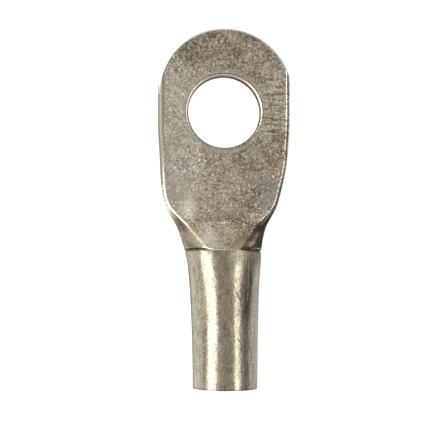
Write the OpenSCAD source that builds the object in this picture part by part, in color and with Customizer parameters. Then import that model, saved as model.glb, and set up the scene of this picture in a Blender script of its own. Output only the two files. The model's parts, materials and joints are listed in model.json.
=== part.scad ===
// Tubular cable lug: one length of copper tube. One end stays round for the cable. The other is
// pressed flat into a palm, punched for a bolt and sheared to a round tip.
// The lug lies on the back of its palm. The origin is where the bolt hole's axis meets the
// palm's back face. +Y points to the tip, -Y to the barrel's mouth and +Z out of the palm's front.

/* [Barrel] */
// Outside diameter of the tube at the barrel's mouth
barrel_od = 9; // [8.4:0.1:9.6]
// Wall of the tube
tube_wall = 1.1; // [0.8:0.05:1.4]
// Mouth to the crease that the press leaves at the end of the barrel
barrel_l = 19.1; // [15:0.1:26]
// Depth from the mouth to which the bore is still truly round
bore_l = 8; // [6:0.5:11]
// Width over the neck, at the crease
neck_w = 10.9; // [10.2:0.1:11.6]
// Depth of the crease in each side of the neck
crease_depth = 0.12; // [0.04:0.02:0.2]

/* [Throat] */
// Length of the ramp from the crease down to the palm
throat_l = 4.75; // [4:0.05:8]
// Width of the palm at the foot of the ramp
foot_w = 14.2; // [13:0.1:15]
// Height of the rim that stands along each side of the ramp's foot
rim_h = 0.4; // [0:0.1:0.8]
// How far the press pushed the throat off the tube's centre line
press_drift = 0.36; // [0:0.02:0.6]

/* [Palm] */
// Width over the palm's folded sides
palm_w = 19.3; // [17.8:0.1:21]
// Foot of the ramp to the bolt hole's axis
palm_l = 15.55; // [12:0.05:22]
// Bolt hole's axis to the tip
tip_l = 12.3; // [10.5:0.05:15]
// How much further out than the folded sides the shear circle lies
shear_over = 0.2; // [0.2:0.05:1]
// How far the shear stood to one side of the bolt hole's axis
shear_shift = 0.15; // [0:0.05:0.15]
// Radius that the shear rolls onto the front edge of the tip
shear_roll = 0.3; // [0.1:0.05:0.4]

/* [Bolt hole] */
// Diameter of the bolt hole
hole_d = 10.5; // [8.4:0.1:13]
// Radius that the punch rolls onto the front rim of the hole
punch_roll = 0.4; // [0.1:0.05:0.5]

/* [Hidden] */

// Points on the front of a half section, as shares of the way out to its rim
front_shares = [0, 0.75];
// Steps from the rim round the flank to the back
half_steps = 18;
// Facets of a full circle
round_fn = 96;
// Longest gap between two sections on the barrel, in the throat and on the palm
barrel_step = 1.6;
throat_step = 0.3;
palm_step = 1.5;
// Width of the smallest flat, which parts the two halves of a round section
split = 0.1;
// Tools cut this far past the solid
over = 0.5;

// Pressing moves the copper and keeps its amount, so the palm's width sets its thickness
bore_d = barrel_od - 2 * tube_wall;
tube_area = PI * (pow(barrel_od, 2) - pow(bore_d, 2)) / 4;
palm_t = tube_area / palm_w;

// Places along Y
foot_y = -palm_l;
crease_y = foot_y - throat_l;
mouth_y = crease_y - barrel_l;
bore_end_y = mouth_y + bore_l;
tip_r = palm_w / 2 + shear_over;
shear_y = tip_l - tip_r;

// At the neck the back is already flat, and the crown above its widest line is nearly half round
neck_side_h = 2;
neck_h = neck_side_h + 0.82 * neck_w / 2;
// Just past the crease the press left the sides of the tube widest at this height
throat_side_h = 3.2;
// Length of the rounding at the top of the ramp
ramp_round = 0.4;
// How much straighter than an ellipse the throat's flanks are
facet_power = 1.7;
// Half width of the crease
crease_half = 0.2;
// Height of the cavity where its two walls have closed on each other
closed_h = 0.12;

function mix(a, b, t) = a + (b - a) * t;
function barrel_y(t) = mix(mouth_y, crease_y, t);
function throat_y(t) = mix(crease_y, foot_y, t);
function palm_y(t) = mix(foot_y, 0, t);

// How the tube's section changes along Y: each list has the points of one smooth curve
width_line = [
    [mouth_y, barrel_od],
    [barrel_y(0.4), mix(barrel_od, neck_w, 0.14)],
    [barrel_y(0.75), mix(barrel_od, neck_w, 0.48)],
    [barrel_y(0.9), mix(barrel_od, neck_w, 0.76)],
    [crease_y, neck_w],
    [throat_y(0.4), mix(neck_w, foot_w, 0.26)],
    [throat_y(0.75), mix(neck_w, foot_w, 0.6)],
    [foot_y, foot_w],
    [palm_y(0.12), mix(foot_w, palm_w, 0.38)],
    [palm_y(0.26), mix(foot_w, palm_w, 0.61)],
    [palm_y(0.55), mix(foot_w, palm_w, 0.86)],
    [0, palm_w],
];
height_line = [
    [mouth_y, barrel_od],
    [bore_end_y, mix(barrel_od, neck_h, 0.12)],
    [barrel_y(0.85), mix(barrel_od, neck_h, 0.86)],
    [crease_y, neck_h],
    [crease_y + ramp_round, mix(neck_h, palm_t, 0.1)],
    [throat_y(0.35), mix(palm_t, neck_h, 0.62)],
    [throat_y(0.62), mix(palm_t, neck_h, 0.35)],
    [foot_y, mix(palm_t, neck_h, 0.08)],
    [palm_y(0.14), palm_t],
];
// Height of the section's widest line
side_line = [
    [mouth_y, barrel_od / 2],
    [barrel_y(0.4), mix(barrel_od / 2, neck_side_h, 0.3)],
    [crease_y, neck_side_h],
    [crease_y + ramp_round, throat_side_h],
    [throat_y(0.4), 0.8 * throat_side_h],
    [foot_y, 0.6 * palm_t],
    [palm_y(0.15), palm_t / 2],
];
// How far in from the widest line the flanks of the front and of the back reach. Between its two
// flanks a side of the section is flat.
front_flank_line = [
    [barrel_y(0.93), neck_w / 2],
    [crease_y, 0.4 * neck_w],
    [crease_y + ramp_round, 0.29 * neck_w],
    [throat_y(0.33), 0.24 * neck_w],
    [throat_y(0.73), 0.16 * neck_w],
    [palm_y(0.18), palm_t / 2],
];
back_flank_line = [
    [mouth_y, barrel_od / 2],
    [barrel_y(0.4), 0.4 * barrel_od],
    [crease_y, palm_t],
    [foot_y, palm_t / 2],
];
facet_line = [
    [crease_y, 1],
    [crease_y + ramp_round / 2, facet_power],
    [throat_y(0.6), facet_power],
    [palm_y(0.15), 1],
];
rim_line = [
    [crease_y, 0],
    [throat_y(0.4), rim_h / 2],
    [foot_y, rim_h],
    [palm_y(0.2), 0],
];
// Sideways drift of the section's middle
drift_line = [
    [barrel_y(0.9), 0],
    [throat_y(0.35), -press_drift],
    [palm_y(0.15), -press_drift],
    [palm_y(0.6), 0],
];

// Slope of a curve at its point i: level at its ends and at turns, and never so steep that the
// curve swings past its points
function rise(line, i) = (line[i + 1][1] - line[i][1]) / (line[i + 1][0] - line[i][0]);
function slope(line, i) =
    i == 0 || i == len(line) - 1 || rise(line, i - 1) * rise(line, i) <= 0 ? 0
    : 2 / (1 / rise(line, i - 1) + 1 / rise(line, i));
// Value of a curve at y, found from the stretch i that holds y
function along(line, y, i = 0) =
    y <= line[0][0] ? line[0][1]
    : i == len(line) - 1 ? line[i][1]
    : y > line[i + 1][0] ? along(line, y, i + 1)
    : stretch(line, i, line[i + 1][0] - line[i][0], (y - line[i][0]) / (line[i + 1][0] - line[i][0]));
function stretch(line, i, l, t) =
    mix(line[i][1], line[i + 1][1], t * t * (3 - 2 * t))
    + l * t * (1 - t) * (slope(line, i) * (1 - t) - slope(line, i + 1) * t);

function width(y) = along(width_line, y);
function height(y) = along(height_line, y);
function side_h(y) = along(side_line, y);
function flat(line, y) = max(split, width(y) - 2 * along(line, y));

// Right half of a section of width w, from the middle of its front round to the middle of its
// back. Its front is at the height high, and rises by rim at the top of the flank.
function half_section(w, low, middle, high, rim, front, back, facet) = concat(
    [for (k = front_shares) [k * front / 2, high + rim * pow(k, 5)]],
    [
        for (i = [0:half_steps]) let (
            a = 180 * i / half_steps,
            flat_w = a < 90 ? front : back,
            reach = (a < 90 ? high + rim : low) - middle,
            bow = a < 90 ? facet : 1
        ) [(flat_w + (w - flat_w) * pow(sin(a), bow)) / 2, middle + reach * pow(abs(cos(a)), bow)]
    ]
);

// The crease bites the sides of the neck and leaves its crown and its back as they are
function crease_at(y) = crease_depth * max(0, 1 - abs(y - crease_y) / crease_half);
function creased(p, y) = [p[0] - crease_at(y) * pow(min(1, 2 * p[0] / width(y)), 2), p[1]];

// Whole section at y: the half, and the same half mirrored without its first point
function ring(y, half) = let (drift = along(drift_line, y)) concat(
    [for (p = half) [drift + p[0], y, p[1]]],
    [for (i = [len(half) - 1:-1:1]) [drift - half[i][0], y, half[i][1]]]
);
function tube_ring(y) = let (
    half = half_section(width(y), 0, side_h(y), height(y), along(rim_line, y),
        flat(front_flank_line, y), flat(back_flank_line, y), along(facet_line, y))
) ring(y, [for (p = half) creased(p, y)]);

// The cavity keeps the wall's thickness and closes as the tube comes down to the palm
function cavity_ring(y) = let (
    opened = (y - bore_end_y) / (crease_y - bore_end_y),
    w = mix(bore_d, width(y) - 2 * tube_wall, min(1, max(0, opened))) - split,
    h = max(closed_h, bore_d * (height(y) - palm_t) / (barrel_od - palm_t) - split),
    low = (height(y) - h) / 2,
    k = w / width(y)
) ring(y, half_section(w, low, low + h * side_h(y) / height(y), low + h, 0,
    k * flat(front_flank_line, y), k * flat(back_flank_line, y), along(facet_line, y)));

// Closed skin over rings with the same number of points. Each end is a fan round its own middle.
module loft(rings) {
    n = len(rings[0]);
    last = len(rings) - 1;
    points = [for (r = rings) each r];
    middles = [for (r = [rings[0], rings[last]]) (r[0] + r[floor(n / 2)]) / 2];
    sides = [
        for (r = [0:last - 1], i = [0:n - 1]) let (
            a = r * n + i,
            b = r * n + (i + 1) % n
        ) [a, a + n, b + n, b]
    ];
    ends = [
        for (i = [0:n - 1], j = [(i + 1) % n]) each [
            [len(points), i, j],
            [len(points) + 1, last * n + j, last * n + i]
        ]
    ];
    polyhedron(concat(points, middles), concat(sides, ends));
}

// Evenly spaced places from a up to, and not including, b
function steps(a, b, gap) = let (n = ceil((b - a) / gap)) [for (i = [0:n - 1]) mix(a, b, i / n)];

module pressed_tube() {
    places = concat(
        steps(mouth_y, crease_y - crease_half, barrel_step),
        [crease_y - crease_half, crease_y],
        steps(crease_y + crease_half, foot_y, throat_step),
        steps(foot_y, 0, palm_step),
        [0, tip_l + over]
    );
    loft([for (y = places) tube_ring(y)]);
}

module cavity() {
    seam_y = throat_y(0.93);
    loft([for (y = concat(steps(bore_end_y - over, seam_y, 2 * throat_step), [seam_y])) cavity_ring(y)]);
}

module cable_bore() {
    translate([0, bore_end_y, barrel_od / 2]) rotate([90, 0, 0])
        cylinder(h = bore_l + over, d = bore_d, $fn = round_fn);
}

// Punched from the front, which rolls the hole's front rim over
module bolt_hole() {
    translate([0, 0, -over]) cylinder(h = palm_t + 2 * over, d = hole_d, $fn = round_fn);
    rotate_extrude($fn = round_fn) difference() {
        translate([hole_d / 2 - over, palm_t - punch_roll]) square([over + punch_roll, punch_roll + over]);
        translate([hole_d / 2 + punch_roll, palm_t - punch_roll]) circle(punch_roll, $fn = round_fn / 2);
    }
}

// Everything outside the round tip, with the front edge of the tip rolled over
module tip_shear() {
    reach = tip_r + over;
    translate([shear_shift, shear_y, 0]) intersection() {
        translate([-reach, 0, -over]) cube([2 * reach, reach + over, palm_t + 2 * over]);
        union() {
            difference() {
                translate([0, 0, -over]) cylinder(h = palm_t + 2 * over, r = 2 * tip_r, $fn = round_fn);
                translate([0, 0, -2 * over]) cylinder(h = palm_t + 4 * over, r = tip_r, $fn = 2 * round_fn);
            }
            rotate_extrude($fn = 2 * round_fn) difference() {
                translate([tip_r - shear_roll, palm_t - shear_roll]) square([shear_roll + over, shear_roll + over]);
                translate([tip_r - shear_roll, palm_t - shear_roll]) circle(shear_roll, $fn = round_fn / 2);
            }
        }
    }
}

module cable_lug() {
    color("lightgray") difference() {
        pressed_tube();
        cable_bore();
        cavity();
        bolt_hole();
        tip_shear();
    }
}

cable_lug();
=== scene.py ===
# %% [markdown]
# # A tin-plated cable lug
#
# A tubular lug is one length of copper tube. One end stays round and takes the cable. The other
# end is pressed flat, punched for a bolt and sheared to a round tip, and the whole is then tin
# plated. This notebook dresses that one piece: it lofts a fine skin over the tube's own
# sections, cuts it with the same tools as the press shop, and gives it a plated finish.

# %% Load the frame
import json
import math

import bmesh
import bpy
import numpy as np
from mathutils import Matrix, Vector


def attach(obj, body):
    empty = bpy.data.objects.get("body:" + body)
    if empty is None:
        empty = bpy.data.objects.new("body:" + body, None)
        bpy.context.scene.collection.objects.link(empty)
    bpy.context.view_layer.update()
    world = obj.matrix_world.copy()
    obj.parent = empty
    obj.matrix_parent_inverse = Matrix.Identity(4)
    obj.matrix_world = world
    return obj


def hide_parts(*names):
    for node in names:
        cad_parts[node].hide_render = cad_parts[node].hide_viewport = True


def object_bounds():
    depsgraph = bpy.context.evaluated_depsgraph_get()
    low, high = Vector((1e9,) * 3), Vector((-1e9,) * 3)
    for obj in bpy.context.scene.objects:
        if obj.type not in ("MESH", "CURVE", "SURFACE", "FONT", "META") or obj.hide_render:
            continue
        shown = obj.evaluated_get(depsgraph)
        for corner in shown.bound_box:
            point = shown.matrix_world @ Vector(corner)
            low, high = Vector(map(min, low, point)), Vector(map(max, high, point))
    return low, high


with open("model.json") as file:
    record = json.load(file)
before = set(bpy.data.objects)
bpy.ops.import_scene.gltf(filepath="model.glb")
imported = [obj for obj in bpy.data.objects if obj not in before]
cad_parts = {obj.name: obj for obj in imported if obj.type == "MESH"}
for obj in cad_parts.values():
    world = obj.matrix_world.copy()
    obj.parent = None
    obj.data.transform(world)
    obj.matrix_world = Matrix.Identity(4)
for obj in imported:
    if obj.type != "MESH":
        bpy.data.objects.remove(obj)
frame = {"record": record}
cad_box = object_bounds()
MM = 0.001
print("CAD box in mm:", [[round(v / MM, 2) for v in corner] for corner in cad_box])

# %% [markdown]
# ## Sizes
#
# The frame already fixes every size that fits something else: the box gives the barrel's
# diameter, the palm's width and both ends, and the mounts give the two bores. What is left are
# the places where the press changes the tube's shape, and they are named here once.

# %% Sizes
mounts = {mount["name"]: mount for mount in frame["record"]["mounts"]}
low, high = cad_box
barrel_od = high.z
palm_w = high.x - low.x
mouth_y, tip_y = low.y, high.y
hole_r = mounts["bolt_hole"]["dims"]["r_mm"] * MM
bore_r = mounts["cable_bore"]["dims"]["r_mm"] * MM
bore_end_y = mouth_y + mounts["cable_bore"]["dims"]["length_mm"] * MM
tube_wall = barrel_od / 2 - bore_r
palm_t = math.pi * (barrel_od - tube_wall) * tube_wall / palm_w

foot_y = -15.55 * MM
crease_y = foot_y - 4.75 * MM
neck_w, foot_w = 10.9 * MM, 14.2 * MM
neck_side_h = 2 * MM
neck_h = neck_side_h + 0.82 * neck_w / 2
throat_side_h = 3.2 * MM
ramp_round = 0.4 * MM
facet_power = 1.7
rim_h = 0.4 * MM
press_drift = 0.36 * MM
shear_shift = 0.15 * MM
crease_depth, crease_half = 0.12 * MM, 0.2 * MM
split, closed_h = 0.1 * MM, 0.12 * MM
punch_roll, shear_roll = 0.4 * MM, 0.3 * MM
tip_r = palm_w / 2 + 0.2 * MM
shear_y = tip_y - tip_r
print(f"palm {palm_w / MM:.1f} x {palm_t / MM:.2f} mm")
print(f"barrel {barrel_od / MM:.1f} mm, wall {tube_wall / MM:.2f} mm")

# %% [markdown]
# ## Camera
#
# The lug lies on its back and the camera looks down on it, a little from the barrel's left and
# from near enough that the barrel, which stands higher than the palm, looks slightly larger.

# %% Camera
camera_place = Vector((-0.0115, -0.0262, 0.1469))
camera_target = Vector((-0.00165, -0.0147, palm_t))
camera_roll = math.radians(0.3)
camera_data = bpy.data.cameras.new("camera")
camera_data.lens, camera_data.sensor_width = 86.2, 36
camera = bpy.data.objects.new("camera", camera_data)
sight = (camera_target - camera_place).normalized()
rightward = sight.cross(Vector((-math.sin(camera_roll), math.cos(camera_roll), 0))).normalized()
camera.matrix_world = Matrix((rightward, rightward.cross(sight), -sight)).transposed().to_4x4()
camera.location = camera_place
bpy.context.scene.collection.objects.link(camera)
bpy.context.scene.camera = camera
bpy.context.scene.view_settings.view_transform = "Standard"
print("camera", round((camera_target - camera_place).length / MM), "mm from the palm")

# %% [markdown]
# ## Node maths as expressions
#
# Geometry trees and material trees share the same Math node. One small class wraps a socket and
# overloads the operators, so a rule such as `side + reach * cos(swing)` is written as it is read.

# %% An expression on sockets
class Expr:
    """A socket's value, which builds Math nodes when it is calculated with."""

    def __init__(self, tree, socket):
        self.tree, self.socket = tree, socket

    def math(self, operation, *others):
        return node(self.tree, "ShaderNodeMath", {"operation": operation}, [self, *others])[0]

    def __add__(self, other):
        return self.math("ADD", other)

    def __sub__(self, other):
        return self.math("SUBTRACT", other)

    def __mul__(self, other):
        return self.math("MULTIPLY", other)

    def __truediv__(self, other):
        return self.math("DIVIDE", other)

    def __pow__(self, other):
        return self.math("POWER", other)

    def __rsub__(self, other):
        return (self * -1) + other

    def __gt__(self, other):
        return self.math("GREATER_THAN", other)

    def __lt__(self, other):
        return self.math("LESS_THAN", other)

    __radd__ = __add__
    __rmul__ = __mul__


def node(tree, kind, settings=None, inputs=None):
    """Adds a node, sets what it is told, feeds its inputs and returns its live outputs."""
    made = tree.nodes.new(kind)
    for name, value in (settings or {}).items():
        setattr(made, name, value)
    for name, value in (inputs.items() if isinstance(inputs, dict) else enumerate(inputs or [])):
        if isinstance(value, Expr):
            tree.links.new(value.socket, made.inputs[name])
        elif value is not None:
            made.inputs[name].default_value = value
    return [Expr(tree, socket) for socket in made.outputs if socket.enabled]


def mix(a, b, t):
    """The value that lies a share t of the way from a to b."""
    return a + (b - a) * t


print("halfway from 2 to 6:", mix(2, 6, 0.5))

# %% [markdown]
# ## The tube's lines
#
# The press changes eight things along the tube: its width, its height, the height of its widest
# line, the flats on its front and on its back, how sharp its flanks are, the raised edges of its
# front, and how far its middle has drifted. Each is a smooth curve through a few points. A curve
# that overshoots its points would show as a ripple in the plating, so the slope at each point is
# the harmonic mean of the slopes on its two sides.

# %% Smooth curves through a few points
def along(line, y):
    """Values at the places y of the curve through the points of line."""
    places, values = np.array(line, float).T
    rise = np.diff(values) / np.diff(places)
    slope = np.zeros(len(values))
    turning = rise[:-1] * rise[1:] <= 0
    slope[1:-1][~turning] = 2 / (1 / rise[:-1][~turning] + 1 / rise[1:][~turning])
    y = np.clip(y, places[0], places[-1])
    i = np.clip(np.searchsorted(places, y, side="right") - 1, 0, len(rise) - 1)
    length = places[i + 1] - places[i]
    t = (y - places[i]) / length
    swing = length * t * (1 - t) * (slope[i] * (1 - t) - slope[i + 1] * t)
    return mix(values[i], values[i + 1], t * t * (3 - 2 * t)) + swing


rise_then_flat = [(0, 0), (1, 1), (2, 1)]
print("half along a rise from 0 to 1 that ends flat:", along(rise_then_flat, 0.5))

# %% [markdown]
# ### The eight lines
#
# Each point is a place along the tube and the value there. A place is a share of the barrel, of
# the throat or of the palm, and a value lies between two of the named sizes, so that the lines
# follow when a size changes.

# %% The eight lines
def barrel(t):
    """The place at a share t of the barrel."""
    return mix(mouth_y, crease_y, t)


def throat(t):
    """The place at a share t of the throat."""
    return mix(crease_y, foot_y, t)


def palm(t):
    """The place at a share t of the palm, which ends here at the bolt hole's axis."""
    return mix(foot_y, 0, t)


lines = {
    "width": [
        (mouth_y, barrel_od), (barrel(0.4), mix(barrel_od, neck_w, 0.14)),
        (barrel(0.75), mix(barrel_od, neck_w, 0.48)), (barrel(0.9), mix(barrel_od, neck_w, 0.76)),
        (crease_y, neck_w), (throat(0.4), mix(neck_w, foot_w, 0.26)),
        (throat(0.75), mix(neck_w, foot_w, 0.6)), (foot_y, foot_w),
        (palm(0.12), mix(foot_w, palm_w, 0.38)), (palm(0.26), mix(foot_w, palm_w, 0.61)),
        (palm(0.55), mix(foot_w, palm_w, 0.86)), (0, palm_w),
    ],
    "height": [
        (mouth_y, barrel_od), (bore_end_y, mix(barrel_od, neck_h, 0.12)),
        (barrel(0.85), mix(barrel_od, neck_h, 0.86)), (crease_y, neck_h),
        (crease_y + ramp_round, mix(neck_h, palm_t, 0.1)), (throat(0.35), mix(palm_t, neck_h, 0.62)),
        (throat(0.62), mix(palm_t, neck_h, 0.35)), (foot_y, mix(palm_t, neck_h, 0.08)),
        (palm(0.14), palm_t),
    ],
    "side": [
        (mouth_y, barrel_od / 2), (barrel(0.4), mix(barrel_od / 2, neck_side_h, 0.3)),
        (crease_y, neck_side_h), (crease_y + ramp_round, throat_side_h),
        (throat(0.4), 0.8 * throat_side_h), (foot_y, 0.6 * palm_t),
        (palm(0.15), palm_t / 2),
    ],
    "front": [
        (barrel(0.93), neck_w / 2), (crease_y, 0.4 * neck_w), (crease_y + ramp_round, 0.29 * neck_w),
        (throat(0.33), 0.24 * neck_w), (throat(0.73), 0.16 * neck_w), (palm(0.18), palm_t / 2),
    ],
    "back": [
        (mouth_y, barrel_od / 2), (barrel(0.4), 0.4 * barrel_od), (crease_y, palm_t),
        (foot_y, palm_t / 2),
    ],
    "facet": [
        (crease_y, 1), (crease_y + ramp_round / 2, facet_power), (throat(0.6), facet_power),
        (palm(0.15), 1),
    ],
    "rim": [(crease_y, 0), (throat(0.4), rim_h / 2), (foot_y, rim_h), (palm(0.2), 0)],
    "drift": [
        (barrel(0.9), 0), (throat(0.35), -press_drift), (palm(0.15), -press_drift), (palm(0.6), 0),
    ],
}
print("points on each line:", {name: len(line) for name, line in lines.items()})

# %% [markdown]
# ### Sections
#
# A section is the set of values at one place. Sections stand closest together at the crease,
# where the press bites a narrow groove into each side of the neck.

# %% Sections
def tube_stations(y):
    """The tube's values at the places y."""
    values = {name: along(line, y) for name, line in lines.items()}
    for name in ("front", "back"):
        values[name] = np.maximum(split, values["width"] - 2 * values[name])
    values["y"], values["low"] = y, 0 * y
    values["bite"] = crease_depth * np.maximum(0, 1 - abs(y - crease_y) / crease_half)
    return values


over_tip = tip_y + 0.5 * MM
stretches = [
    (mouth_y, crease_y - 2 * crease_half, 62),
    (crease_y - 2 * crease_half, crease_y + 2 * crease_half, 16),
    (crease_y + 2 * crease_half, palm(0.2), 60), (palm(0.2), 0, 44), (0, over_tip, 36),
]
places = [np.linspace(a, b, n, endpoint=False) for a, b, n in stretches]
places = np.concatenate(places + [[over_tip]])
outside = tube_stations(places)
print(len(places), "sections along the tube")

# %% [markdown]
# ## The skin, lofted by Geometry Nodes
#
# The shape follows one rule from mouth to tip, so one tree makes it. A row of loose points
# carries the values of the sections, a ring of points says where each column lies on a section,
# and the tree lays a grid over both. Across the flats a column moves with `across`, and round
# the flanks it moves with `swing`, from 0 at the front to half a turn at the back.

# %% The loft tree
STATION_VALUES = ("y", "width", "height", "low", "side", "front", "back",
                  "facet", "rim", "drift", "bite")
RIPPLES_PER_METRE = 150.0
WELD_DISTANCE = 1e-7
RIM_SHARPNESS = 5


def point_row(name, values):
    """An object of loose points that carry named values."""
    count = len(next(iter(values.values())))
    mesh = bpy.data.meshes.new(name)
    mesh.vertices.add(count)
    for key, numbers in values.items():
        attribute = mesh.attributes.new(key, "FLOAT", "POINT")
        attribute.data.foreach_set("value", np.array(numbers, np.float32))
    row = bpy.data.objects.new(name, mesh)
    bpy.context.scene.collection.objects.link(row)
    return row


def loft_tree():
    """Rows from the object's own points, columns from the object in the input Ring."""
    tree = bpy.data.node_groups.new("loft over sections", "GeometryNodeTree")
    for name, kind in (("Stations", "NodeSocketGeometry"), ("Ring", "NodeSocketObject"),
                       ("Rows", "NodeSocketInt"), ("Columns", "NodeSocketInt"),
                       ("Waviness", "NodeSocketFloat"), ("Finish", "NodeSocketMaterial")):
        tree.interface.new_socket(name, in_out="INPUT", socket_type=kind)
    tree.interface.new_socket("Skin", in_out="OUTPUT", socket_type="NodeSocketGeometry")
    stations, ring, rows, columns, waviness, finish = node(tree, "NodeGroupInput")[:6]
    ring_points = node(tree, "GeometryNodeObjectInfo", None, {"Object": ring})[-1]
    grid = node(tree, "GeometryNodeMeshGrid", None, {"Vertices X": rows, "Vertices Y": columns})[0]
    index = node(tree, "GeometryNodeInputIndex")[0]
    row = (index / columns).math("FLOOR")
    column = index - row * columns

    def sample(points, name, at):
        value = node(tree, "GeometryNodeInputNamedAttribute", {"data_type": "FLOAT"}, {"Name": name})[0]
        return node(tree, "GeometryNodeSampleIndex", None,
                    {"Geometry": points, "Value": value, "Index": at})[0]

    y, width, height, low, side, front, back, facet, rim, drift, bite = (
        sample(stations, name, row) for name in STATION_VALUES)
    across, swing = sample(ring_points, "across", column), sample(ring_points, "swing", column)
    behind = swing > math.pi / 2
    flat = mix(front, back, behind)
    bow = mix(facet, 1, behind)
    flank = swing.math("SINE").math("MAXIMUM", 0) ** bow
    half = across * flat / 2 + across.math("SIGN") * (width - flat) / 2 * flank
    bitten = across.math("SIGN") * bite * (half.math("ABSOLUTE") * 2 / width) ** 2
    rise = height + rim * across.math("ABSOLUTE") ** RIM_SHARPNESS
    reach = mix(rise, low, behind) - side
    x = half - bitten * (flank > 0) + drift
    z = side + reach * swing.math("COSINE").math("ABSOLUTE") ** bow
    smooth_place = node(tree, "ShaderNodeCombineXYZ", None, [x, y, z])[0]
    ripple = node(tree, "ShaderNodeTexNoise", None,
                  {"Vector": smooth_place, "Scale": RIPPLES_PER_METRE, "Detail": 1.0})[0]
    z = z + (ripple - 0.5) * waviness * (1 - behind)
    place = node(tree, "ShaderNodeCombineXYZ", None, [x, y, z])[0]
    skin = node(tree, "GeometryNodeSetPosition", None, {"Geometry": grid, "Position": place})[0]
    skin = node(tree, "GeometryNodeMergeByDistance", None,
                {"Geometry": skin, "Distance": WELD_DISTANCE})[0]
    skin = node(tree, "GeometryNodeRealizeInstances", None, {"Geometry": skin})[0]
    skin = node(tree, "GeometryNodeSetMaterial", None, {"Geometry": skin, "Material": finish})[0]
    node(tree, "NodeGroupOutput", None, {"Skin": skin})
    return tree


LOFT = loft_tree()
print("loft tree:", len(LOFT.nodes), "nodes")

# %% [markdown]
# ## Columns round a section, and the loft itself
#
# The front starts at its middle, so that the grid closes where nothing bends. The loft is run
# once for the tube and once for its cavity, with a slight waviness on the tube's front only,
# because pressed tube is never quite flat.

# %% Round the section
def ring_values(front_steps, flank_steps, back_steps):
    """Columns from the middle of the front, round the right flank and the back, to the start."""
    front = np.linspace(0, 1, front_steps // 2, endpoint=False)
    swing = np.linspace(0, math.pi, flank_steps, endpoint=False)
    back = np.linspace(1, -1, back_steps, endpoint=False)
    across = np.concatenate([front, 0 * swing + 1, back, 0 * swing - 1, front - 1, [0]])
    turns = np.concatenate([0 * front, swing, 0 * back + math.pi, math.pi - swing, 0 * front, [0]])
    return {"across": across, "swing": turns}


def loft(name, stations, ring, finish, waviness=0.0):
    """Runs the loft tree and returns a plain mesh object with closed ends."""
    points, ring_points = point_row(name, stations), point_row(name + " ring", ring)
    modifier = points.modifiers.new("loft", "NODES")
    modifier.node_group = LOFT
    sizes = {"Ring": ring_points, "Rows": len(stations["y"]), "Columns": len(ring["swing"]),
             "Waviness": waviness, "Finish": finish}
    for item in LOFT.interface.items_tree:
        if item.name in sizes:
            modifier[item.identifier] = sizes[item.name]
    evaluated = points.evaluated_get(bpy.context.evaluated_depsgraph_get())
    mesh = bpy.data.meshes.new_from_object(evaluated)
    for leftover in (points, ring_points):
        bpy.data.objects.remove(leftover)
    shell = bmesh.new()
    shell.from_mesh(mesh)
    bmesh.ops.holes_fill(shell, edges=[edge for edge in shell.edges if edge.is_boundary])
    bmesh.ops.recalc_face_normals(shell, faces=shell.faces)
    shell.to_mesh(mesh)
    shell.free()
    made = bpy.data.objects.new(name, mesh)
    bpy.context.scene.collection.objects.link(made)
    return made


tin = bpy.data.materials.new("tin_plate")
lug = loft("lug_skin", outside, ring_values(48, 28, 24), tin, waviness=0.03 * MM)
print("outer skin:", len(lug.data.vertices), "points")

# %% [markdown]
# ## The cavity
#
# The cable's bore is round for the first stretch. Beyond it the cavity keeps the wall's
# thickness and closes as the tube comes down to the palm. It is a loft as well, and a Boolean
# takes it out of the tube.

# %% Cavity and bore
def cavity_stations(y):
    """The cavity's values at the places y, from the tube's values there."""
    tube = tube_stations(y)
    straight = y <= bore_end_y
    opened = np.clip((y - bore_end_y) / (crease_y - bore_end_y), 0, 1)
    width = mix(2 * bore_r, tube["width"] - 2 * tube_wall, opened) - split * ~straight
    height = np.maximum(closed_h, 2 * bore_r * (tube["height"] - palm_t) / (barrel_od - palm_t) - split)
    height[straight] = 2 * bore_r
    low = np.where(straight, tube_wall, (tube["height"] - height) / 2)
    side = np.where(straight, barrel_od / 2, low + height * tube["side"] / tube["height"])
    share = width / tube["width"]
    return tube | {"width": width, "height": low + height, "low": low, "side": side,
                   "front": np.where(straight, split, share * tube["front"]),
                   "back": np.where(straight, split, share * tube["back"]), "rim": 0 * y, "bite": 0 * y}


past_bore = np.linspace(bore_end_y + 0.01 * MM, throat(0.93), 50)
inside_places = np.concatenate([[mouth_y - MM, bore_end_y], past_bore])
cavity = loft("cavity", cavity_stations(inside_places), ring_values(12, 28, 12), tin)
print("cavity:", len(cavity.data.vertices), "points")

# %% [markdown]
# ## Punch and shear
#
# The bolt hole is punched and the tip is sheared after pressing. Both tools roll the front edge
# over before they cut. Each tool here is a lathed solid whose outline has that roll, and the
# Booleans cut the lug as the press does.

# %% Lathed tools
def lathe(name, outline, centre, turn, steps):
    """Closed solid of an outline of (radius, height) points turned about an upright axis."""
    whole = turn == 2 * math.pi
    angles = np.linspace(0, turn, steps, endpoint=not whole)
    solid = bmesh.new()
    rings = [[solid.verts.new((centre[0] + r * math.cos(a), centre[1] + r * math.sin(a), z))
              for r, z in outline] for a in angles]
    pairs = list(zip(rings, rings[1:] + rings[:1])) if whole else list(zip(rings, rings[1:]))
    for here, there in pairs:
        for i in range(len(outline)):
            j = (i + 1) % len(outline)
            solid.faces.new((here[i], there[i], there[j], here[j]))
    if not whole:
        solid.faces.new(rings[0])
        solid.faces.new(rings[-1])
    bmesh.ops.recalc_face_normals(solid, faces=solid.faces)
    mesh = bpy.data.meshes.new(name)
    solid.to_mesh(mesh)
    solid.free()
    made = bpy.data.objects.new(name, mesh)
    bpy.context.scene.collection.objects.link(made)
    return made


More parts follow.
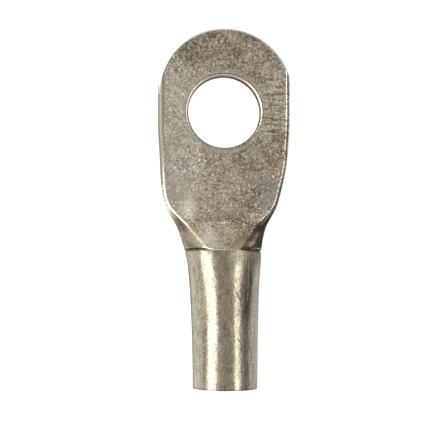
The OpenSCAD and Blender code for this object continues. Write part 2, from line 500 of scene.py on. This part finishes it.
def cut(target, tool):
    """Takes the tool out of the target with a Boolean and removes the tool."""
    modifier = target.modifiers.new("cut", "BOOLEAN")
    modifier.operation, modifier.solver, modifier.object = "DIFFERENCE", "EXACT", tool
    evaluated = target.evaluated_get(bpy.context.evaluated_depsgraph_get())
    mesh = bpy.data.meshes.new_from_object(evaluated)
    target.modifiers.remove(modifier)
    target.data = mesh
    bpy.data.objects.remove(tool)


far, core_r = 1.0 * MM, 1e-6
roll = [(math.sin(a), math.cos(a)) for a in np.radians(np.linspace(90, 12, 7))]
punch = [(core_r, -far), (hole_r, -far)]
punch += [(hole_r + punch_roll * (1 - s), palm_t - punch_roll * (1 - c)) for s, c in roll]
punch += [(hole_r + 1.2 * punch_roll, palm_t + far), (core_r, palm_t + far)]
shear = [(tip_r + 6 * far, -far), (tip_r, -far)]
shear += [(tip_r - shear_roll * (1 - s), palm_t - shear_roll * (1 - c)) for s, c in roll]
shear += [(tip_r - 1.2 * shear_roll, palm_t + far), (tip_r + 6 * far, palm_t + far)]
cut(lug, cavity)
cut(lug, lathe("punch", punch, (0, 0), 2 * math.pi, 192))
cut(lug, lathe("shear", shear, (shear_shift, shear_y), math.pi, 160))
lug.name = lug.data.name = "cable_lug_body"
lug.data.shade_smooth()
lug.data.set_sharp_from_angle(angle=math.radians(32))
print("cut lug:", len(lug.data.polygons), "faces")

# %% [markdown]
# ## Tin plate
#
# Tin goes on as a thin warm grey coat over pressed copper. Handling and the press leave it
# mottled: soft clouds a few millimetres wide, a fine grain, pinkish stains where the copper
# shows, and bright crystal dots whose glint is painted into the colour as a highlight. Some
# places also get painted light, shade and reflection. Every layer is a rule in millimetres on
# the Object coordinates, so the pattern is as coarse on any size of lug.

# %% Patterns in millimetres
def soft(value, low, high):
    """0 at low, 1 at high and a smooth rise between."""
    return node(value.tree, "ShaderNodeMapRange", {"interpolation_type": "SMOOTHSTEP"},
                {"Value": value, "From Min": low, "From Max": high})[0]


def stretched(place, factors, shift=(0, 0, 0)):
    """The place, scaled along each axis and moved."""
    return node(place.tree, "ShaderNodeVectorMath", {"operation": "MULTIPLY_ADD"},
                [place, factors, shift])[0]


def noise(place, cell, detail=2.0, seed=0, rough=0.5, warp=0.0):
    """Cloudy values about 0.5. A cell is the width of one cloud in mm, or one width per axis."""
    cells = cell if isinstance(cell, tuple) else (cell, cell, cell)
    moved = stretched(place, tuple(1 / c for c in cells), (seed * 7.3, seed * 3.1, seed * 5.7))
    return node(place.tree, "ShaderNodeTexNoise", None, {
        "Vector": moved, "Scale": 1.0, "Detail": detail, "Roughness": rough, "Distortion": warp})[0]


def either(*masks):
    """The strongest of the masks at each place."""
    strongest = masks[0]
    for mask in masks[1:]:
        strongest = strongest.math("MAXIMUM", mask)
    return strongest


def paint(under, over, mask):
    """The colour under, with the colour over where the mask is 1."""
    return node(mask.tree, "ShaderNodeMix", {"data_type": "RGBA"}, {0: mask, 6: under, 7: over})[0]


def patch(x, y, centre, radii, ragged, edge=0.35):
    """A mask over an ellipse whose edge is pushed in and out by a noise."""
    away = (((x - centre[0]) / radii[0]) ** 2 + ((y - centre[1]) / radii[1]) ** 2) ** 0.5
    return soft(away + (ragged - 0.5) * 1.6, 1 + edge, 1 - edge)


def stroke(x, y, start, end, width):
    """A mask over a straight mark from start to end that thins out at both ends."""
    (ax, ay), (bx, by) = start, end
    length = math.hypot(bx - ax, by - ay)
    ux, uy = (bx - ax) / length, (by - ay) / length
    run = ((x - ax) * ux + (y - ay) * uy) / length
    beside = ((x - ax) * uy - (y - ay) * ux).math("ABSOLUTE")
    taper = run * (1 - run) * 4
    return soft(beside / width + (1 - taper.math("MAXIMUM", 0)), 1.3, 0.6) * (run > 0) * (run < 1)


print("layers:", [maker.__name__ for maker in (soft, noise, either, paint, patch, stroke)])

# %% [markdown]
# ### Colours
#
# Tin plate is a warm grey that runs from dark to light. Over it come faint tints, stains of the
# copper beneath, the brown of sheared copper and dirt, and colours for a painted blue-grey
# reflection, painted glints and highlights, and painted shade.

# %% Colours
tin_dark, tin_mid, tin_light = (0.20, 0.165, 0.12, 1), (0.59, 0.52, 0.41, 1), (0.98, 0.95, 0.87, 1)
pink_tin, green_tin, shaded_dull_tin = (0.62, 0.47, 0.38, 1), (0.50, 0.52, 0.42, 1), (0.30, 0.27, 0.21, 1)
reflected_blue_grey, crystal_glint_white = (0.47, 0.49, 0.47, 1), (0.95, 0.92, 0.86, 1)
copper_stain, brown_stain = (0.55, 0.41, 0.32, 1), (0.42, 0.29, 0.21, 1)
bare_copper, painted_copper_glint = (0.75, 0.46, 0.27, 1), (0.98, 0.82, 0.66, 1)
sheared_brown, dirt_and_shade = (0.20, 0.14, 0.09, 1), (0.09, 0.07, 0.05, 1)
print("lightest tin:", tin_light[:3])

# %% [markdown]
# ### Where things are on the lug
#
# The material is a rule of the place alone. `x`, `y` and `z` are in millimetres from the bolt
# hole's axis, and a few masks say whether a place is on the barrel, the ramp, its flanks or the
# palm. Four noises give the clouds, the grain, the speckle that breaks up narrow lines, and the
# ragged edges of the patches.

# %% Coordinates, noises and masks
tin.use_nodes = True
tree = tin.node_tree
shader = tree.nodes["Principled BSDF"]
object_place = node(tree, "ShaderNodeTexCoord")[3]
place = stretched(object_place, (1 / MM, 1 / MM, 1 / MM))
x, y, z = node(tree, "ShaderNodeSeparateXYZ", None, [place])

clouds = noise(place, 2.4, 1, seed=1)
grain = noise(place, 0.28, 1, seed=2)
fine = noise(place, 0.25, 1, seed=3)
ragged = noise(place, 1.1, 3, seed=4)
tone = (clouds - 0.5) + (grain - 0.5) * 2.5

foot, crease, mouth = foot_y / MM, crease_y / MM, mouth_y / MM
half_palm, front_z, tip_edge = palm_w / MM / 2, palm_t / MM, tip_r / MM
hole_edge = hole_r / MM
rolled_edge = hole_edge + punch_roll / MM
on_barrel = soft(y, crease + 0.15, crease - 0.15)
on_palm = soft(y, foot - 1.5, foot + 2.5)
ramp_share = (y - crease) / (foot - crease)
ridge_x = mix(2.3, 6.0, ramp_share)
off_middle = (x + press_drift / MM).math("ABSOLUTE")
on_flank = soft(off_middle - ridge_x, -0.5, 0.3) * soft(y, foot + 1.6, foot - 0.4) * (1 - on_barrel)
hole_away = (x ** 2 + y ** 2) ** 0.5
tip_away = ((x - shear_shift / MM) ** 2 + (y - shear_y / MM) ** 2) ** 0.5
on_tip = y > shear_y / MM
print("masks and noises:", len(tree.nodes), "nodes")

# %% [markdown]
# ### How light the tin is
#
# One number, `level`, runs from dark to light tin. The palm has short cross marks beside the
# hole, a smoother ring round it, thicker tin on its left, and thinner tin at its tip and low on
# its right. The ramp gets painted light, most on its left half and near the crease, with painted
# shade on its right half, a painted highlight on its inner left side, a band of painted shade at
# its foot and painted shade on its left flank. The barrel is darker, and its clouds are drawn out
# lengthwise.

# %% Level
ripples = noise(place, (2.2, 0.38, 2.2), 1, seed=5, warp=0.3)
cross_field = patch(x, y, (7.8, -0.4), (2.4, 5.8), ragged)
cross_marks = cross_field * soft(ripples, 0.50, 0.42)
worn = patch(x, y, (-6.6, -11.7), (1.7, 2.0), ragged)
blue_reflection = patch(x, y, (7.4, -11.8), (1.6, 1.8), ragged)
hole_ring = soft(hole_away + (ragged - 0.5) * 0.6, hole_edge + 1.05, hole_edge + 0.75)
hole_ring = hole_ring * soft(hole_away, rolled_edge - 0.03, rolled_edge + 0.07)
thick_tin = soft(x + (clouds - 0.5) * 6, 1.0, -7.0) * on_palm * soft(y, 9.0, 3.0)
thin_tin = either(soft(y + (clouds - 0.5) * 6, 5.0, 9.5), patch(x, y, (5.6, -10.6), (3.4, 4.4), ragged))

draw_lines = noise(place, (0.2, 9.0, 0.2), 2, seed=6)
drawn_clouds = noise(place, (0.7, 1.6, 0.7), 2, seed=7)

on_ramp = soft(y, foot + 1.0, foot - 1.0) * (1 - on_barrel)
ragged_x = x + (ragged - 0.5) * 3
# Painted light on the ramp's left half and painted shade on its right half.
ramp_light_and_shade = (soft(ragged_x, 0.0, -4.0) - soft(ragged_x, 0.0, 3.5)) * on_ramp
crystals = patch(x, y, (-4.0, -7.2), (3.2, 2.2), ragged)
# Painted highlight on the ramp's inner left side, which is also made rougher below.
inner_side = either(patch(x, y, (-3.4, -18.3), (2.0, 2.3), grain, edge=0.8),
                    patch(x, y, (-5.2, -15.4), (1.1, 2.4), grain, edge=0.9))
palm_tone = 0.39 + tone * (0.8 + crystals * 0.2 + on_ramp * 0.3 - on_flank * 0.75)
palm_tone = palm_tone + thick_tin * 0.35 + crystals * 0.06 - thin_tin * 0.14
# Painted light over the ramp, strongest at the crease.
palm_tone = palm_tone + (on_ramp * 0.36 + ramp_light_and_shade * 0.38) * (1 - on_flank) * (1.05 - ramp_share)
# Painted shade in a band at the ramp's foot and on its left flank.
foot_shade_band = soft(y, foot + 0.6, foot - 0.4) * soft(y, foot - 2.6, foot - 1.2)
left_flank_shade = on_flank * soft(x, 0, -2)
palm_tone = palm_tone + inner_side * 0.25 - foot_shade_band * 0.2 - left_flank_shade * 0.32
barrel_tone = 0.25 + (drawn_clouds - 0.5) * 0.7 + (grain - 0.5) * 0.8 + (draw_lines - 0.5) * 0.5
level = mix(palm_tone, barrel_tone, on_barrel)
level = mix(level, 0.62, either(worn * 0.5, hole_ring * 0.6))
level = level - cross_marks * 0.42 + cross_field * 0.12
print("level:", len(tree.nodes), "nodes")

# %% [markdown]
# ### Colour of the plate
#
# The level picks the colour, and faint tints, copper stains, a painted blue-grey reflection and
# small bright crystals painted near white as glints go over it.

# %% Colour of the plate
color = paint(paint(tin_dark, tin_mid, level * 2), tin_light, level * 2 - 1)
tint = noise(place, 0.7, 2, seed=10)
color = paint(color, pink_tin, soft(tint, 0.52, 0.70) * 0.35)
color = paint(color, green_tin, soft(tint, 0.48, 0.30) * 0.35 + on_barrel * 0.12)
stains = soft(noise(place, 1.3, 2, seed=8), 0.53, 0.66) * (1 - on_barrel * 0.8) * soft(y, 4.0, -8.0)
color = paint(color, copper_stain, stains * 0.42)
color = paint(color, brown_stain, patch(x, y, (2.6, -19.0), (1.3, 1.5), grain, edge=0.7) * 0.6)
# Painted reflection: a blue-grey patch low on the palm's right.
color = paint(color, reflected_blue_grey, blue_reflection * 0.35)

# Crystal dots, raised in the relief and painted near white as glints: a painted highlight.
sparkle = either(crystals, on_ramp)
crystal_glint_dots = soft(noise(place, 0.34, 1, seed=9), 0.67 - sparkle * 0.03, 0.74)
crystal_glint_dots = crystal_glint_dots * (1 - on_barrel) * (1 - on_flank)
color = paint(color, crystal_glint_white, crystal_glint_dots * 0.8)
print("plate:", len(tree.nodes), "nodes")

# %% [markdown]
# ### Folds and sheared edges
#
# Both folds are polished, but the left one is duller, and its colour is darkened down to the
# throat as painted shade. The punch and the shear cut through the plating, so their walls show
# brown copper with a seam between the two pressed layers. Their rolled-over edges are painted
# bright as a highlight, the hole's on its top side only, with a thin dark line round the hole.

# %% Folds and sheared edges
fold = soft((x.math("ABSOLUTE") - half_palm).math("ABSOLUTE"), 0.8, 0.4) * on_palm
from_left = x + half_palm
# Painted shade: the left fold's colour is darkened down to the throat, and it is rougher too.
dull_shaded_fold = soft(from_left, -0.02, 0.1) * soft(from_left, 1.1, 0.7) * soft(y, -11.8, -10.2)
color = paint(color, shaded_dull_tin, dull_shaded_fold)

in_hole = soft(hole_away, hole_edge + 0.25, hole_edge + 0.1)
off_tip = soft(tip_away, tip_edge - 0.22, tip_edge - 0.08) * on_tip
off_tip = off_tip * soft(z, front_z - 0.11, front_z - 0.19)
seam = soft((z - front_z / 2).math("ABSOLUTE") + (fine - 0.5) * 0.1, 0.09, 0.04)
sheared = either(in_hole, off_tip)
color = paint(color, sheared_brown, sheared)
color = paint(color, bare_copper, in_hole * soft(grain, 0.52, 0.64) * 0.8)
color = paint(color, dirt_and_shade, sheared * seam)
on_rolls = soft(z, front_z - 0.41, front_z - 0.31)
# Painted highlight: the hole's rolled edge is painted bright copper on its top side.
punched_roll_glint = soft(hole_away, rolled_edge - 0.01, rolled_edge - 0.11) * on_rolls * soft(y, -2, 1)
color = paint(color, painted_copper_glint, punched_roll_glint * 0.9)
# Painted highlight along the tip's rolled edge.
sheared_roll_highlight = soft(tip_away, tip_edge - 0.35, tip_edge - 0.2) * on_tip * on_rolls
color = paint(color, tin_light, sheared_roll_highlight * 0.8)
from_roll = (hole_away - rolled_edge + 0.03).math("ABSOLUTE")
rim_line = soft(from_roll + (fine - 0.5) * 0.1, 0.10, 0.03) * soft(z, front_z - 0.21, front_z - 0.11)
color = paint(color, dirt_and_shade, rim_line * (0.3 + soft(y, -3, 2) * 0.45))
print("edges:", len(tree.nodes), "nodes")

# %% [markdown]
# ### Dirt, scratches and crease shade
#
# Dirt sits on the edge of the mouth and in the barrel's scratches: a long one that starts at the
# crease, a short one, and a small tick. The crease at each side of the neck gets painted shade.

# %% Dirt, scratches and crease shade
color = paint(color, dirt_and_shade, soft(y, mouth + 0.3, mouth + 0.1) * 0.5)
# Painted shade in the crease at each side of the neck.
crease_shade = soft((y - crease).math("ABSOLUTE") + (fine - 0.5) * 0.2, 0.16, 0.05)
side_of_neck = soft(x.math("ABSOLUTE"), 1.6, 2.6)
color = paint(color, dirt_and_shade, crease_shade * side_of_neck * 0.8)
scratches = either(
    stroke(x, y, (3.05, crease - 0.3), (2.9, crease - 7.2), 0.09) * 0.8,
    stroke(x, y, (1.2, -25.9), (2.1, -27.6), 0.12), stroke(x, y, (1.3, -32.3), (1.8, -32.9), 0.10),
    stroke(x, y, (1.8, -32.9), (2.3, -31.9), 0.10))
color = paint(color, dirt_and_shade, scratches * 0.6)
print("marks:", len(tree.nodes), "nodes")

# %% [markdown]
# ### Relief and polish
#
# The relief is a height in millimetres, so the Bump node's distance is one millimetre. The folds
# and flanks were rubbed smooth by the die, so they have little relief and low roughness. The cut
# edges, the ramp's inner left side and the barrel's shoulder are duller, and short chatter marks
# run down the barrel's right side.

# %% Relief and polish
palm_height = clouds * 0.02 + grain * 0.014 + crystal_glint_dots * 0.03 - cross_marks * 0.012
shoulder = soft(y, crease - 2.6, crease - 0.6) * soft(x, -0.5, 1.2)
chattered = soft(x, 0.4, 1.2) * soft(x, 3.4, 2.6) * soft(y, -25, -27)
chatter = noise(place, (0.45, 0.8, 0.45), 1, seed=11) * chattered
barrel_height = drawn_clouds * 0.013 + grain * 0.005 + draw_lines * 0.003 + chatter * 0.022
height = mix(palm_height * (1 - fold) * (1 - on_flank * 0.7), barrel_height, on_barrel)
height = height - scratches * 0.03
bump = node(tree, "ShaderNodeBump", None, {"Strength": 1.0, "Distance": MM, "Height": height})[0]
rough = mix(mix(0.36, 0.28, level), 0.26 + shoulder * 0.20, on_barrel)
rough = mix(rough, 0.16, on_flank)
rough = mix(rough, 0.55, inner_side * (1 - on_flank) * 0.9)
rough = mix(rough, 0.13, fold) - crystal_glint_dots * 0.06
rough = mix(rough, 0.5, either(sheared, dull_shaded_fold))
for name, value in {"Base Color": color, "Roughness": rough, "Normal": bump}.items():
    tree.links.new(value.socket, shader.inputs[name])
shader.inputs["Metallic"].default_value = 1
print("tin plate:", len(tree.nodes), "nodes")

# %% [markdown]
# ## The skin takes the solid's place
#
# The lug is one body, so its skin rides the root and stands in for the solid `cable_lug`.

# %% The skin takes the solid's place
lug.data.materials.clear()
lug.data.materials.append(tin)
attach(lug, "root")
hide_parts("cable_lug")
print("skin:", [material.name for material in lug.data.materials])

# %% [markdown]
# ## Floor
#
# A pale sheet under the lug. It is matt white to the camera and to soft light, and keeps the
# lug's shadow. Polished metal shows what lies beside it, so for reflections the sheet is a light
# card, a little dimmer on the right and dim close to the lug. A dark wedge on it opens from the
# throat to the right and shades the flank there.

# %% Floor
floor_mesh = bpy.data.meshes.new("floor")
floor_mesh.from_pydata([(-2, -2, 0), (2, -2, 0), (2, 2, 0), (-2, 2, 0)], [], [(0, 1, 2, 3)])
floor = bpy.data.objects.new("floor", floor_mesh)
bpy.context.scene.collection.objects.link(floor)
floor.location.z = -0.02 * MM
paper = bpy.data.materials.new("pale_floor")
paper.use_nodes = True
tree = paper.node_tree
tree.nodes.clear()
matte = node(tree, "ShaderNodeBsdfDiffuse", None, {"Color": (0.85, 0.85, 0.85, 1)})[0]
path = node(tree, "ShaderNodeLightPath")
in_camera, in_gloss = path[0], path[3]
sheet_place = node(tree, "ShaderNodeTexCoord")[3]
east, north = node(tree, "ShaderNodeSeparateXYZ", None, [sheet_place])[:2]
east, north = east / MM, north / MM
close = soft(east.math("ABSOLUTE"), 9, 5)
beside = (1.1 - soft(east, 0, 6) * 0.28) * (1 - close * 0.75)
past_throat = north + 16 - (east - 5) * 0.47
dark_wedge = soft(east, 2, 5) * soft(north, -23, -18) * soft(past_throat, 5, 2)
beside = mix(beside, 0.10, dark_wedge)
glow = node(tree, "ShaderNodeEmission", None, {"Color": (1, 1, 1, 1), "Strength": in_camera * 0.6})[0]
sheet = node(tree, "ShaderNodeAddShader", None, [matte, glow])[0]
card = node(tree, "ShaderNodeEmission", None, {"Color": beside, "Strength": 1.0})[0]
sheet = node(tree, "ShaderNodeMixShader", None, [in_gloss, sheet, card])[0]
node(tree, "ShaderNodeOutputMaterial", None, {"Surface": sheet})
floor.data.materials.append(paper)
print("floor:", len(tree.nodes), "nodes")

# %% [markdown]
# ## World
#
# An even, slightly warm sky gives the palm its plain grey. Near the horizon it is brighter to
# the north and west and darker to the east, which shades the throat's flanks. The camera itself
# sees plain white.

# %% World
world = bpy.data.worlds.new("studio")
bpy.context.scene.world = world
world.use_nodes = True
tree = world.node_tree
tree.nodes.clear()
in_camera = node(tree, "ShaderNodeLightPath")[0]
way = node(tree, "ShaderNodeTexCoord")[0]
east, north, up = node(tree, "ShaderNodeSeparateXYZ", None, [way])
low_sky = soft(up, 0.75, 0.2)
north_glow = soft(north, 0.2, 1.0) * (1 - soft(east, 0.15, 0.45)) * 0.5
west_glow = soft(east, -0.2, -0.7) * (0.16 + soft(north, 0.06, 0.2) * 0.2)
east_dark = soft(east, 0.3, 0.75) * (0.11 + soft(north, 0.06, 0.2) * 0.16)
sky_level = 0.46 + (north_glow + west_glow - east_dark - 0.09) * low_sky
warm_white = (1.0, 0.97, 0.92, 1)
room = node(tree, "ShaderNodeBackground", None, {"Color": warm_white, "Strength": sky_level})[0]
white = node(tree, "ShaderNodeBackground", None, {"Color": (1, 1, 1, 1), "Strength": 1.0})[0]
sky = node(tree, "ShaderNodeMixShader", None, [in_camera, room, white])[0]
node(tree, "ShaderNodeOutputWorld", None, {"Surface": sky})
print("sky:", len(tree.nodes), "nodes")

# %% [markdown]
# ## Lamps
#
# Two long soft lamps run along the lug, and each draws one bright band on the barrel.

# %% Lamps
def softbox(name, azimuth, elevation, distance, length, height, radiance, shift_y=0.0):
    """A soft area lamp that runs along the lug and faces its middle."""
    data = bpy.data.lights.new(name, "AREA")
    data.shape, data.size, data.size_y = "RECTANGLE", length, height
    data.energy = radiance * math.pi * length * height
    lamp = bpy.data.objects.new(name, data)
    middle = Vector((0, -0.02, 0))
    a, e = math.radians(azimuth), math.radians(elevation)
    away = Vector((math.sin(a) * math.cos(e), math.cos(a) * math.cos(e), math.sin(e)))
    lamp.location = middle + away * distance + Vector((0, shift_y, 0))
    lamp.rotation_euler = (away * -1).to_track_quat("-Z", "Y").to_euler()
    bpy.context.scene.collection.objects.link(lamp)


softbox("left lamp", -90, 39, 0.40, 0.60, 0.23, 3.1)
softbox("right lamp", 90, 52, 0.40, 0.44, 0.13, 2.4, shift_y=0.05)
